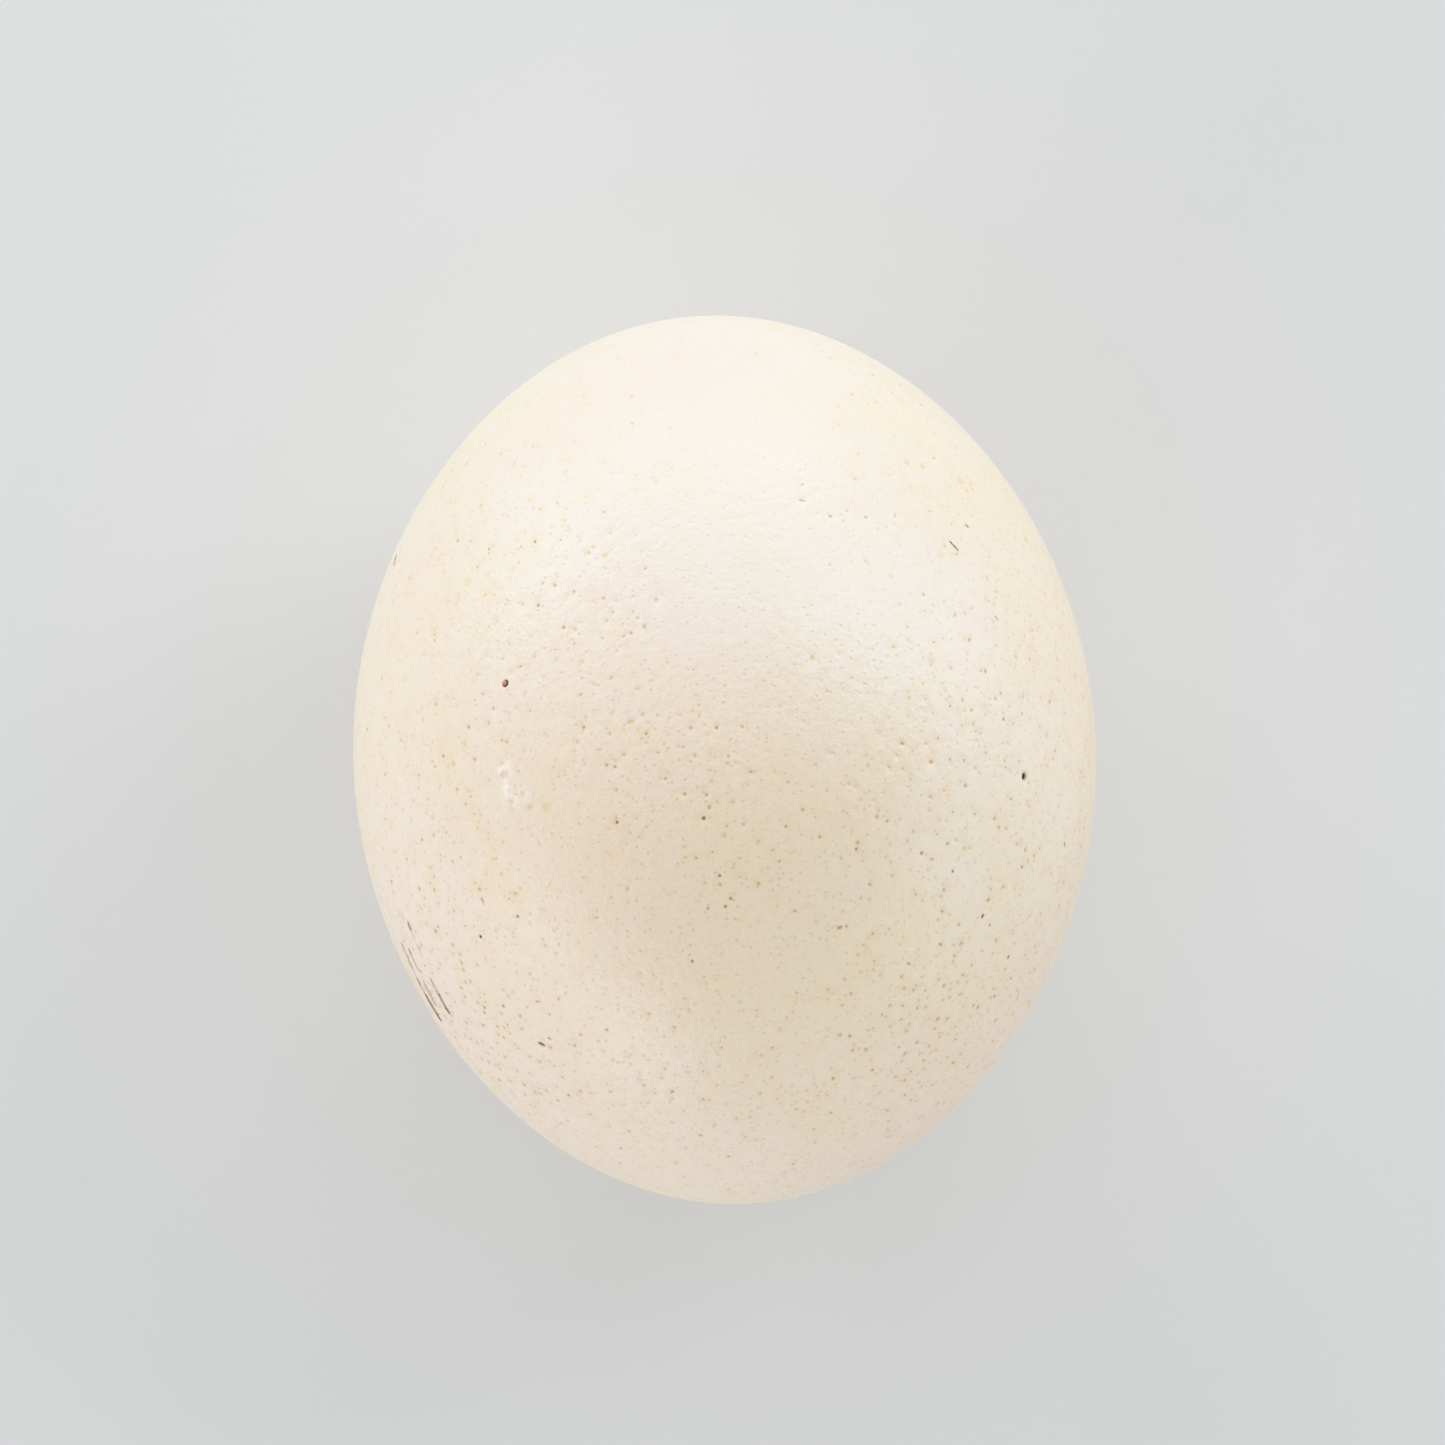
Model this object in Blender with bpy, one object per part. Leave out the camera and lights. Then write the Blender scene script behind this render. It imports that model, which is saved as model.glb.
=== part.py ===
"""An ostrich egg: one piece, whole, lying on its side as a loose egg does.

Metres, +Z up. The egg's long axis lies along Y, and the end that is a touch blunter points to +Y.
The origin is the middle of the small flat spot that the egg rests on.
"""

import math
import random

import bmesh
import bpy
from mathutils import Vector

# Driving dimensions
EGG_LENGTH = 0.150
EGG_WIDTH = 0.125
BLUNTNESS = 0.012  # how much fuller the +Y end is than a true ellipsoid, as a share of the half width
TAPER = -0.036  # how much slimmer both ends are than a true ellipsoid, as a share of the half width
FLAT_DEPTH = 0.00052  # what the flat spot takes off the lowest side; it leaves a spot about 13 x 15 mm

# A grown shell is never quite regular: (waves along, waves around, phase, height)
SWELLS = (
    (2, 1, 0.6, 0.00009),
    (3, 2, 2.1, 0.00007),
    (4, 3, 4.0, 0.00005),
)

# The largest pores, the ones that an eye finds at arm's length: (how many, radius, depth)
PORE_SIZES = (
    (190, 0.00050, 0.00014),
    (130, 0.00068, 0.00018),
    (50, 0.00090, 0.00024),
)
PORE_CLEARANCE = 0.014  # no pore lies this close to the middle of the flat spot
PORE_SEED = 23

# The few blemishes large enough to name, all on the upper side: (x, y, radius, depth)
BLEMISHES = (
    (-0.0349, 0.0002, 0.00110, 0.00026),
    (-0.0341, -0.0041, 0.00095, 0.00022),
    (-0.0341, 0.0147, 0.00085, 0.00022),
)

# The net of triangles that the shell is shaped from
SPHERE_SUBDIVISIONS = 5
NET_JITTER = 0.022  # shifts each point of the net by up to this, in radians, so that no row of pores shows
NET_EVEN_BELOW = -0.975  # the net stays even under the egg, where the flat spot cuts it
SNAP_TO_FLAT = 0.00003

SHELL_COLOUR = (0.83, 0.74, 0.60, 1.0)
SHELL_ROUGHNESS = 0.38
SMOOTH_BELOW = math.radians(14)

HALF_LENGTH = EGG_LENGTH / 2
HALF_WIDTH = EGG_WIDTH / 2
AXIS_HEIGHT = HALF_WIDTH - FLAT_DEPTH


def clear_scene():
    for obj in list(bpy.data.objects):
        bpy.data.objects.remove(obj)


def shell_material():
    """Cream eggshell with the soft gloss of its thin outer glaze."""
    material = bpy.data.materials.new("eggshell")
    material.use_nodes = True
    shader = material.node_tree.nodes["Principled BSDF"]
    shader.inputs["Base Color"].default_value = SHELL_COLOUR
    shader.inputs["Roughness"].default_value = SHELL_ROUGHNESS
    shader.inputs["Metallic"].default_value = 0.0
    material.diffuse_color = SHELL_COLOUR
    return material


def swell(direction):
    """Height of the shell's slow, shallow waves in this direction."""
    around = math.atan2(direction.z, direction.x)
    off_axis = math.hypot(direction.x, direction.z)
    return sum(
        height * off_axis**turns * math.sin(waves * direction.y + turns * around + phase)
        for waves, turns, phase, height in SWELLS
    )


def shell_point(direction):
    """The point of the shell that a unit direction from the egg's middle maps to."""
    along = direction.y
    girth = HALF_WIDTH * (1 + BLUNTNESS * along + TAPER * along**2)
    point = Vector((direction.x * girth, along * HALF_LENGTH, direction.z * girth))
    return point + direction * swell(direction) + Vector((0, 0, AXIS_HEIGHT))


def direction_above(x, y):
    """The unit direction whose point on the upper side of the shell is over (x, y)."""
    along = y / HALF_LENGTH
    across = x / (HALF_WIDTH * (1 + BLUNTNESS * along + TAPER * along**2))
    return Vector((across, along, math.sqrt(1 - across**2 - along**2)))


def shape_shell(net, dice):
    """Turns an even sphere of triangles, its points shifted a little at random, into the egg.

    Gives back the points of the net that were moved to the middles of the blemishes.
    """
    bmesh.ops.create_icosphere(net, subdivisions=SPHERE_SUBDIVISIONS, radius=1.0)
    for vert in net.verts:
        if vert.co.z > NET_EVEN_BELOW:
            shift = Vector([dice.uniform(-NET_JITTER, NET_JITTER) for _ in range(3)])
            vert.co = (vert.co + shift).normalized()
    blemished = []
    for x, y, _, _ in BLEMISHES:
        middle = direction_above(x, y)
        nearest = max(net.verts, key=lambda vert: vert.co.dot(middle))
        nearest.co = middle
        blemished.append(nearest)
    for vert in net.verts:
        vert.co = shell_point(vert.co)
    return blemished


def sink(net, spots, radius, depth):
    """Cuts each of these points of the net off to a small six-sided face, and pushes its middle in."""
    cut = bmesh.ops.bevel(
        net,
        geom=spots,
        offset=radius,
        offset_type="OFFSET",
        segments=1,
        affect="VERTICES",
    )
    bmesh.ops.poke(net, faces=cut["faces"], offset=-depth, center_mode="MEAN")


def pit_shell(net, blemished, dice):
    """Sinks the named blemishes, and pores scattered evenly over the rest of the shell."""
    free = [vert for vert in net.verts if vert.co.length > PORE_CLEARANCE and vert not in blemished]
    chosen = dice.sample(free, sum(count for count, _, _ in PORE_SIZES))
    for spot, (_, _, radius, depth) in zip(blemished, BLEMISHES):
        sink(net, [spot], radius, depth)
    for count, radius, depth in PORE_SIZES:
        spots, chosen = chosen[:count], chosen[count:]
        sink(net, spots, radius, depth)


def cut_flat_spot(net):
    """Takes the lowest sliver off the shell at z = 0 and closes it with one flat face."""
    cut = bmesh.ops.bisect_plane(
        net,
        geom=net.verts[:] + net.edges[:] + net.faces[:],
        dist=SNAP_TO_FLAT,
        plane_co=(0, 0, 0),
        plane_no=(0, 0, -1),
        clear_outer=True,
    )
    rim = [part for part in cut["geom_cut"] if isinstance(part, bmesh.types.BMEdge)]
    bmesh.ops.contextual_create(net, geom=rim)
    for vert in {vert for edge in rim for vert in edge.verts}:
        vert.co.z = 0.0


def make_egg(collection):
    dice = random.Random(PORE_SEED)
    net = bmesh.new()
    blemished = shape_shell(net, dice)
    pit_shell(net, blemished, dice)
    cut_flat_spot(net)
    bmesh.ops.recalc_face_normals(net, faces=net.faces[:])
    mesh = bpy.data.meshes.new("ostrich_egg")
    net.to_mesh(mesh)
    net.free()
    mesh.shade_smooth()
    mesh.set_sharp_from_angle(angle=SMOOTH_BELOW)
    mesh.materials.append(shell_material())
    egg = bpy.data.objects.new("ostrich_egg", mesh)
    collection.objects.link(egg)
    return egg


def main():
    clear_scene()
    collection = bpy.data.collections.new("ostrich egg")
    bpy.context.scene.collection.children.link(collection)
    make_egg(collection)


main()
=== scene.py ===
import itertools
import math

import bmesh
import bpy
import numpy as np
from mathutils import Matrix, Vector
from mathutils.geometry import delaunay_2d_cdt
from mathutils.kdtree import KDTree


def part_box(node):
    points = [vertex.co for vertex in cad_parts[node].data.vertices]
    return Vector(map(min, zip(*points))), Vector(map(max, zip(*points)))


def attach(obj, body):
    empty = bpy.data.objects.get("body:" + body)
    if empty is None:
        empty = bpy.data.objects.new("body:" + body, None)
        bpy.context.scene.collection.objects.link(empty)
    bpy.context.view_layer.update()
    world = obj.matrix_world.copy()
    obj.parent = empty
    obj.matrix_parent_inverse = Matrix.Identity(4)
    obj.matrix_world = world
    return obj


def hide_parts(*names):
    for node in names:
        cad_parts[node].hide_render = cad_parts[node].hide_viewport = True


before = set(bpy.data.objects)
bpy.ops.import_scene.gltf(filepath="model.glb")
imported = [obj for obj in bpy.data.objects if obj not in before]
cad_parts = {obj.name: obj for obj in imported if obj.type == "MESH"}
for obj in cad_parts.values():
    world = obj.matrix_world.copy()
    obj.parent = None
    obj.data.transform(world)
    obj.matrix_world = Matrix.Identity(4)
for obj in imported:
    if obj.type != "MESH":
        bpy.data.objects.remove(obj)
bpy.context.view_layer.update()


# The camera
# The photo shows the egg on end. A loose egg lies down, so here the camera hangs straight over it,
# turned so that the egg's upper end leans to the left as far as it does in the photo.

PHOTO_SIDE = 1445  # pixels
PHOTO_EGG_X = 724.8
PHOTO_EGG_Y = 759.7
PHOTO_EGG_HALF_WIDTH = 371.4
EGG_LEAN = 0.0638  # radians
CAMERA_HEIGHT = 0.9  # above the egg's widest line
SENSOR_WIDTH = 36.0

egg_low, egg_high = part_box("ostrich_egg")
box_half_width = (egg_high[0] - egg_low[0]) / 2
widest_height = egg_high[2] - box_half_width
focal_pixels = PHOTO_EGG_HALF_WIDTH * math.sqrt(CAMERA_HEIGHT**2 - box_half_width**2) / box_half_width
metres_per_pixel = CAMERA_HEIGHT / focal_pixels

camera_turn = Matrix.Rotation(-EGG_LEAN, 4, "Z")
frame_middle = PHOTO_SIDE / 2
camera_place = camera_turn @ Vector(
    (
        (frame_middle - PHOTO_EGG_X) * metres_per_pixel,
        (PHOTO_EGG_Y - frame_middle) * metres_per_pixel,
        widest_height + CAMERA_HEIGHT,
    )
)

camera_data = bpy.data.cameras.new("camera")
camera_data.sensor_width = SENSOR_WIDTH
camera_data.lens = SENSOR_WIDTH * focal_pixels / PHOTO_SIDE
camera = bpy.data.objects.new("camera", camera_data)
camera.matrix_world = Matrix.Translation(camera_place) @ camera_turn
bpy.context.scene.collection.objects.link(camera)
bpy.context.scene.camera = camera


# The shell's form
# One closed shell of lime, about 2 mm thick in the real egg, grown as one piece. It is nearly an
# ellipsoid: both ends are a touch slimmer, one is a touch blunter, and slow shallow swells run over it.

INSET = 0.0001  # keeps the swells inside the shell's plain solid
HALF_WIDTH = box_half_width - INSET
HALF_LENGTH = (egg_high[1] - egg_low[1]) / 2 - INSET
FLAT_DEPTH = 0.00052
AXIS_HEIGHT = HALF_WIDTH - FLAT_DEPTH
BLUNTNESS = 0.012
TAPER = -0.036
SWELLS = (
    (2, 1, 0.6, 0.00009),
    (3, 2, 2.1, 0.00007),
    (4, 3, 4.0, 0.00005),
)


def girth(along):
    """Half the shell's width at a place from -1 to 1 along its axis."""
    return HALF_WIDTH * (1 + BLUNTNESS * along + TAPER * along**2)


def swell(directions):
    """Height of the shell's slow, shallow waves in these directions."""
    across, along, up = directions.T
    around = np.arctan2(up, across)
    off_axis = np.hypot(across, up)
    height = np.zeros(len(directions))
    for waves, turns, phase, size in SWELLS:
        height += size * off_axis**turns * np.sin(waves * along + turns * around + phase)
    return height


def shell_points(directions):
    """The points of the shell that unit directions from the egg's middle map to."""
    across, along, up = directions.T
    width = girth(along)
    points = np.column_stack((across * width, along * HALF_LENGTH, up * width + AXIS_HEIGHT))
    return points + directions * swell(directions)[:, None]


def unit(vectors):
    return vectors / np.linalg.norm(vectors, axis=1)[:, None]


def shell_normals(directions):
    """The smooth shell's outward normals, from two short steps along it."""
    step = 1e-3
    askew = (0.31, 0.17, 0.93)  # any line that none of the directions follows
    aside = unit(np.cross(directions, askew))
    onward = np.cross(directions, aside)
    here = shell_points(directions)
    first = shell_points(unit(directions + step * aside)) - here
    second = shell_points(unit(directions + step * onward)) - here
    return unit(np.cross(first, second))


def directions_to(points):
    """The unit directions that map to points on or very near the shell."""
    across, along, up = (points - (0, 0, AXIS_HEIGHT)).T
    width = girth(along / HALF_LENGTH)
    return unit(np.column_stack((across / width, along / HALF_LENGTH, up / width)))


AIM_ROUNDS = 30
LEAST_RISE = 1e-3  # keeps a guess on the shell when it strays past the outline


def seen_at(pixel_x, pixel_y):
    """The unit direction whose point on the shell the photo shows at this pixel.

    Each round moves the guess of the point's height half of the way to the shell.
    """
    aim = camera_turn @ Vector((pixel_x - frame_middle, frame_middle - pixel_y, -focal_pixels))
    ray = np.array(aim) / focal_pixels
    start = np.array(camera_place)
    height = widest_height + HALF_WIDTH / 2
    for _ in range(AIM_ROUNDS):
        point = start + ray * (start[2] - height)
        along = point[1] / HALF_LENGTH
        across = point[0] / girth(along)
        up = math.sqrt(max(1 - across**2 - along**2, LEAST_RISE))
        direction = unit(np.array([[across, along, up]]))
        height += (shell_points(direction)[0, 2] - height) / 2
    return direction[0]


def spot_at(pixel_x, pixel_y):
    """The point on the shell that the photo shows at this pixel."""
    return shell_points(seen_at(pixel_x, pixel_y)[None])[0]


# The shell's net
# The points that the shell's surface is drawn through. Every pore, speck and scar adds its own points,
# each with how far it stands up, the dirt on it and how much chalk white and painted highlight the shell has
# there.

TAN = (0.44, 0.31, 0.17)

net_directions = []
net_heights = []
net_dirt = []
net_chalk_and_glint = []


def add_to_net(directions, heights=0.0, tints=TAN, dirt=0.0, chalk_and_glint=0.0):
    """Adds points in these directions, each with what the net keeps for it."""
    count = len(directions)
    net_directions.append(directions)
    net_heights.append(np.full(count, heights))
    dirt_colours = np.empty((count, 4))
    dirt_colours[:, :3] = tints
    dirt_colours[:, 3] = dirt
    net_dirt.append(dirt_colours)
    net_chalk_and_glint.append(np.full(count, chalk_and_glint))


# The scar
# On the left side of the photo three small craters touch, where the lime set badly: each has a low
# raised rim about a dull bowl. The rims and the blister are painted white: partly bare, chalky lime,
# partly painted highlight on the sides that catch the light.

RUST = (0.41, 0.18, 0.05)
SCAR_MIDDLE = (512, 786)  # pixels
SCAR_REACH = 0.0034
SCAR_STEP = 0.00019
CRATERS = {  # middle in pixels, then the rim's radius, width and height, and the bowl's depth
    "upper crater": ((506.0, 775.0), 0.00110, 0.00032, 0.00022, 0.00012),
    "lower crater": ((512.4, 801.4), 0.00080, 0.00028, 0.00018, 0.00011),
    "right crater": ((523.8, 794.0), 0.00075, 0.00028, 0.00013, 0.00008),
    "blister": ((506.6, 789.0), 0.00010, 0.00065, 0.00026, 0.00000),
}
# Painted highlight and chalk white: bright flecks on the rims' and the blister's sides that catch the light.
CHALK_AND_GLINT_FLECKS = {  # two ends in pixels, half the width, strength
    "upper crater's left": ((500.6, 770.8), (503.2, 768.4), 0.00034, 0.9),
    "upper crater's top": ((503.2, 768.4), (507.4, 767.2), 0.00034, 1.0),
    "upper crater's top right": ((507.4, 767.2), (511.8, 771.4), 0.00026, 0.6),
    "upper crater's right": ((512.0, 771.6), (513.4, 778.6), 0.00029, 0.8),
    "upper crater's lower right": ((513.4, 778.6), (509.8, 783.4), 0.00034, 0.7),
    "smear above the crater": ((506.0, 766.0), (506.6, 759.6), 0.00044, 0.3),
    "blister": ((507.0, 786.0), (506.2, 792.4), 0.00073, 1.0),
    "round the blister": ((507.4, 785.6), (506.0, 796.0), 0.00123, 0.45),
    "below the blister": ((505.0, 794.0), (506.0, 799.0), 0.00065, 0.2),
    "lower crater's right": ((517.2, 799.4), (517.8, 802.6), 0.00039, 1.0),
    "lower crater's lower right": ((517.6, 803.4), (513.0, 807.0), 0.00031, 0.7),
    "lower crater's top right": ((517.4, 799.6), (514.6, 797.0), 0.00026, 0.4),
    "right crater's right": ((528.0, 793.4), (528.2, 799.0), 0.00036, 0.5),
    "right crater's bottom": ((528.4, 798.6), (524.0, 801.0), 0.00031, 0.3),
}
SCAR_PINHOLES = ((514.8, 785.5), (516.2, 794.5), (512.2, 764.8), (518.5, 771.5))
PINHOLE_REACH = 0.00026
PINHOLE_DEPTH = 0.00010
PINHOLE_DIRT = 0.35
BOWL_REACH = 0.7  # as a share of the rim's radius
BOWL_DIRT_REACH = 0.6
BOWL_DIRT = 0.10


def hump(distances, reach):
    """1 where the distance is nothing, falling off smoothly to nearly nothing at twice the reach."""
    return np.exp(-((distances / reach) ** 2))


def distances_to(points, pixel):
    """How far each point is from the place on the shell that the photo shows at this pixel."""
    return np.linalg.norm(points - spot_at(*pixel), axis=1)


def line_distances(points, start, end):
    """How far each point is from the straight line between two points."""
    line = end - start
    shares = np.clip((points - start) @ line / (line @ line), 0, 1)
    return np.linalg.norm(points - start - shares[:, None] * line, axis=1)


scar_direction = seen_at(*SCAR_MIDDLE)[None]
scar_point = shell_points(scar_direction)
scar_normal = shell_normals(scar_direction)
scar_aside = unit(np.cross((0, 1, 0), scar_normal))
scar_onward = np.cross(scar_normal, scar_aside)
rows = int(SCAR_REACH / SCAR_STEP) + 1
columns, lines = np.meshgrid(np.arange(-rows, rows + 1), np.arange(-rows, rows + 1))
scar_x = ((columns + lines % 2 / 2) * SCAR_STEP).ravel()
scar_y = (lines * SCAR_STEP * math.sqrt(3) / 2).ravel()
inside = np.hypot(scar_x, scar_y) < SCAR_REACH
scar_places = scar_point + scar_aside * scar_x[inside, None] + scar_onward * scar_y[inside, None]
scar_directions = directions_to(scar_places)
scar_places = shell_points(scar_directions)

scar_heights = np.zeros(len(scar_places))
scar_chalk_and_glint = np.zeros(len(scar_places))
scar_dirt = np.zeros(len(scar_places))
for middle, rim_radius, rim_width, rim_height, bowl_depth in CRATERS.values():
    distances = distances_to(scar_places, middle)
    scar_heights += rim_height * hump(distances - rim_radius, rim_width)
    scar_heights -= bowl_depth * hump(distances, rim_radius * BOWL_REACH)
    if bowl_depth > 0:
        scar_dirt += BOWL_DIRT * hump(distances, rim_radius * BOWL_DIRT_REACH)
# Paints the flecks' highlight and chalk white onto the scar.
for start, end, half_width, strength in CHALK_AND_GLINT_FLECKS.values():
    distances = line_distances(scar_places, spot_at(*start), spot_at(*end))
    scar_chalk_and_glint = np.maximum(scar_chalk_and_glint, strength * hump(distances, half_width))
for middle in SCAR_PINHOLES:
    pinhole = hump(distances_to(scar_places, middle), PINHOLE_REACH)
    scar_heights -= PINHOLE_DEPTH * pinhole
    scar_dirt += PINHOLE_DIRT * pinhole
add_to_net(scar_directions, scar_heights, RUST, np.clip(scar_dirt, 0, 1), scar_chalk_and_glint)


# The specks
# Pores and chips that stand out in the photo, packed with soot, rust, bark-brown or tan dirt, or just
# stained honey-yellow. Each row has a speck's middle, half its longest line in pixels (0, 0 if it is
# round), half its width and its strength.

SOOT = (0.040, 0.025, 0.012)
BARK = (0.24, 0.13, 0.03)
HONEY = (0.66, 0.44, 0.19)
PIT_EDGE = (0.80, 0.57, 0.30)

SPECK_SIDES = 9
SPECK_RINGS = ((0.0, 1.0, 1.0), (0.62, 0.75, 1.0), (1.25, 0.0, 0.0))  # shares of reach, depth and dirt
SPECK_DEPTH_SHARE = 0.6
SPECK_UNEVEN = 0.2
SPECK_CLEARANCE = 0.00045
SEED = 5

SOOTY_SPECKS = (
    (1024.5, 776.4, 0.9, -4.6, 0.00078, 1.0),
    (480.4, 936.8, 1.5, 1.9, 0.00037, 0.95),
    (952.7, 871.3, 0, 0, 0.00032, 0.68),
    (982.7, 916.2, 1.4, -3.0, 0.00034, 0.85),
    (802.5, 484.5, 0, 0, 0.00026, 0.5),
)
RUSTY_SPECKS = (
    (517.7, 916.5, 1.6, 1.4, 0.00036, 0.8),
    (802.0, 500.5, -4.4, -1.0, 0.00030, 0.5),
    (830.5, 516.3, -2.6, -0.5, 0.00030, 0.6),
    (865.8, 517.3, -2.4, -0.5, 0.00028, 0.6),
    (967.2, 526.0, 2.8, 2.4, 0.00034, 0.8),
    (996.5, 618.2, 2.0, 4.0, 0.00030, 0.58),
    (1003.4, 719.3, 0, 0, 0.00036, 0.7),
    (921.5, 853.2, 1.0, -2.4, 0.00032, 0.8),
    (839.6, 927.6, -4.2, 1.4, 0.00040, 0.65),
    (846.5, 926.2, 0, 0, 0.00034, 0.55),
    (482.4, 900.2, 1.8, 4.0, 0.00034, 0.62),
    (549.5, 1038.5, 2.4, 1.0, 0.00032, 0.75),
    (606.8, 1029.8, 0, 0, 0.00034, 0.6),
    (503.4, 1006.4, 0, 0, 0.00036, 0.8),
    (730.8, 898.4, 0, 0, 0.00036, 0.75),
    (725.6, 906.4, 0, 0, 0.00036, 0.7),
    (719.8, 875.6, 1.8, 1.6, 0.00036, 0.74),
    (708.2, 908.4, 0, 0, 0.00034, 0.58),
    (1064.6, 844.7, 0.6, 3.0, 0.00034, 0.8),
    (899.2, 1047.2, 2.0, 0.6, 0.00034, 0.45),
    (615.2, 766.8, 0, 0, 0.00034, 0.56),
    (692.6, 710.8, 0, 0, 0.00030, 0.3),
)
BARKY_SPECKS = (
    (703.8, 818.2, 0, 0, 0.00042, 0.84),
    (617.1, 822.3, 0, 0, 0.00036, 0.82),
    (692.5, 961.2, 1.8, 0.4, 0.00034, 0.7),
    (541.3, 1044.3, 5.0, 2.4, 0.00048, 0.95),
    (887.1, 821.1, 0, 0, 0.00038, 0.45),
    (989.7, 925.2, 1.0, -2.4, 0.00034, 0.55),
    (1008.4, 957.2, 1.0, -2.4, 0.00034, 1.0),
    (796.6, 992.6, 0, 0, 0.00036, 0.4),
    (973.2, 1005.6, 1.0, -2.2, 0.00032, 0.6),
    (488.8, 549.2, 0, 0, 0.00032, 0.55),
)
TAN_SPECKS = (
    (716.6, 727.9, 0, 0, 0.00036, 0.65),
    (694.6, 756.1, 0, 0, 0.00036, 0.4),
    (728.5, 756.5, 1.6, 1.6, 0.00036, 0.45),
    (684.9, 794.0, 0, 0, 0.00036, 0.62),
    (706.6, 794.8, 0, 0, 0.00036, 0.6),
    (709.4, 807.4, -0.8, 3.2, 0.00036, 0.55),
    (743.6, 824.2, 0, 0, 0.00036, 0.45),
    (726.7, 826.2, 0, 0, 0.00034, 0.48),
    (493.3, 708.4, 0, 0, 0.00036, 0.56),
    (962.3, 700.3, 1.6, 2.4, 0.00036, 0.45),
    (971.2, 710.2, 0.8, 2.2, 0.00036, 0.50),
    (995.3, 698.8, 0.4, 2.6, 0.00036, 0.5),
    (644.7, 627.4, 0, 0, 0.00036, 0.45),
    (630.9, 633.3, 0, 0, 0.00040, 0.52),
    (612.6, 612.0, 0, 0, 0.00034, 0.38),
    (607.0, 621.0, 0, 0, 0.00042, 0.35),
    (602.2, 638.0, 0, 0, 0.00036, 0.34),
    (637.6, 618.0, 0, 0, 0.00036, 0.46),
    (633.1, 611.9, 0, 0, 0.00036, 0.36),
    (846.9, 510.7, 0, 0, 0.00034, 0.48),
    (895.3, 515.3, 0.3, -3.0, 0.00030, 0.42),
    (843.4, 520.6, 0, 0, 0.00032, 0.36),
    (817.6, 512.8, 0, 0, 0.00032, 0.30),
    (934.1, 458.1, 1.8, 1.2, 0.00030, 0.62),
    (830.0, 564.7, 0, 0, 0.00034, 0.38),
    (891.0, 576.3, 1.6, 1.2, 0.00034, 0.34),
    (923.5, 594.7, 0.2, 1.8, 0.00036, 0.46),
    (899.5, 604.6, 0, 0, 0.00034, 0.30),
    (877.6, 529.4, 0, 0, 0.00034, 0.28),
)
HONEY_SPECKS = (
    (630.5, 722.0, -4.6, 0.4, 0.00044, 0.5),
    (690.9, 728.2, 1.6, 2.0, 0.00042, 0.56),
    (742.1, 726.9, 0.6, 2.2, 0.00038, 0.5),
    (642.9, 714.3, -1.6, 1.4, 0.00040, 0.52),
    (612.4, 712.9, 0, 0, 0.00040, 0.36),
    (699.4, 716.5, 0, 0, 0.00036, 0.36),
    (646.5, 742.9, 0, 0, 0.00040, 0.32),
    (683.5, 747.3, 0, 0, 0.00042, 0.36),
    (717.4, 802.2, 2.0, -0.6, 0.00036, 0.48),
    (811.9, 657.9, 1.4, 3.0, 0.00040, 0.45),
    (627.5, 889.1, -0.6, 3.0, 0.00040, 0.50),
    (434.6, 640.6, 0, 0, 0.00036, 0.60),
    (656.0, 599.7, -2.0, -0.6, 0.00046, 0.42),
    (467.0, 583.0, 0, 0, 0.00110, 0.15),
    (456.2, 601.2, 0, 0, 0.00110, 0.17),
    (961.0, 481.4, 0, 0, 0.00110, 0.28),
    (907.2, 462.7, 0, 0, 0.00070, 0.38),
    (922.8, 466.8, 0, 0, 0.00070, 0.36),
    (546.6, 807.8, 0, 0, 0.00110, 0.27),
    (530.3, 807.3, 0, 0, 0.00070, 0.38),
    (453.4, 764.2, 0, 0, 0.00070, 0.36),
    (588.8, 553.3, 2.6, -1.6, 0.00045, 0.42),
    (604.6, 555.8, 3.6, 0.4, 0.00055, 0.32),
)

speck_spots = []
speck_clearances = []
dice = np.random.default_rng(SEED)


def dig_pits(middles, leans, reaches, stretches, depths, strengths, tints, rings, sides, uneven):
    """Rings of points about each middle, sunk into the shell, with the dirt that thins out to its rim."""
    spots = shell_points(middles)
    normals = shell_normals(middles)
    onward = unit(np.cross(normals, leans))
    aside = np.cross(onward, normals)
    for number, (share, depth_share, dirt_share) in enumerate(rings):
        corners = sides if share > 0 else 1
        ring_tints = np.asarray(tints) * dirt_share + np.asarray(PIT_EDGE) * (1 - dirt_share)
        for corner in range(corners):
            angle = math.tau * (corner + number / 2) / sides
            reached = share * reaches * dice.uniform(1 - uneven, 1, len(middles))
            long_steps = math.cos(angle) * reached * stretches
            short_steps = math.sin(angle) * reached / stretches
            places = spots + aside * long_steps[:, None] + onward * short_steps[:, None]
            add_to_net(directions_to(places), -depth_share * depths, ring_tints, dirt_share * strengths)


def dig_specks(rows, tint):
    """Sinks one pit for each row, drawn out along its speck's longest line."""
    for pixel_x, pixel_y, long_x, long_y, half_width, strength in rows:
        middle = seen_at(pixel_x, pixel_y)[None]
        spot = shell_points(middle)[0]
        if long_x or long_y:
            lean = spot_at(pixel_x + long_x, pixel_y + long_y) - spot
            half_length = max(np.linalg.norm(lean), half_width)
        else:
            lean = np.array((1.0, 0.0, 0.0))  # a round speck leans no way, so any will do
            half_length = half_width
        reach = np.array([math.sqrt(half_length * half_width)])
        stretch = np.array([math.sqrt(half_length / half_width)])
        depth = half_width * SPECK_DEPTH_SHARE * strength
        dirt = np.array([strength])
        dig_pits(middle, lean, reach, stretch, depth, dirt, tint, SPECK_RINGS, SPECK_SIDES, SPECK_UNEVEN)
        speck_spots.append(spot)
        speck_clearances.append(half_length + SPECK_CLEARANCE)


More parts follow.
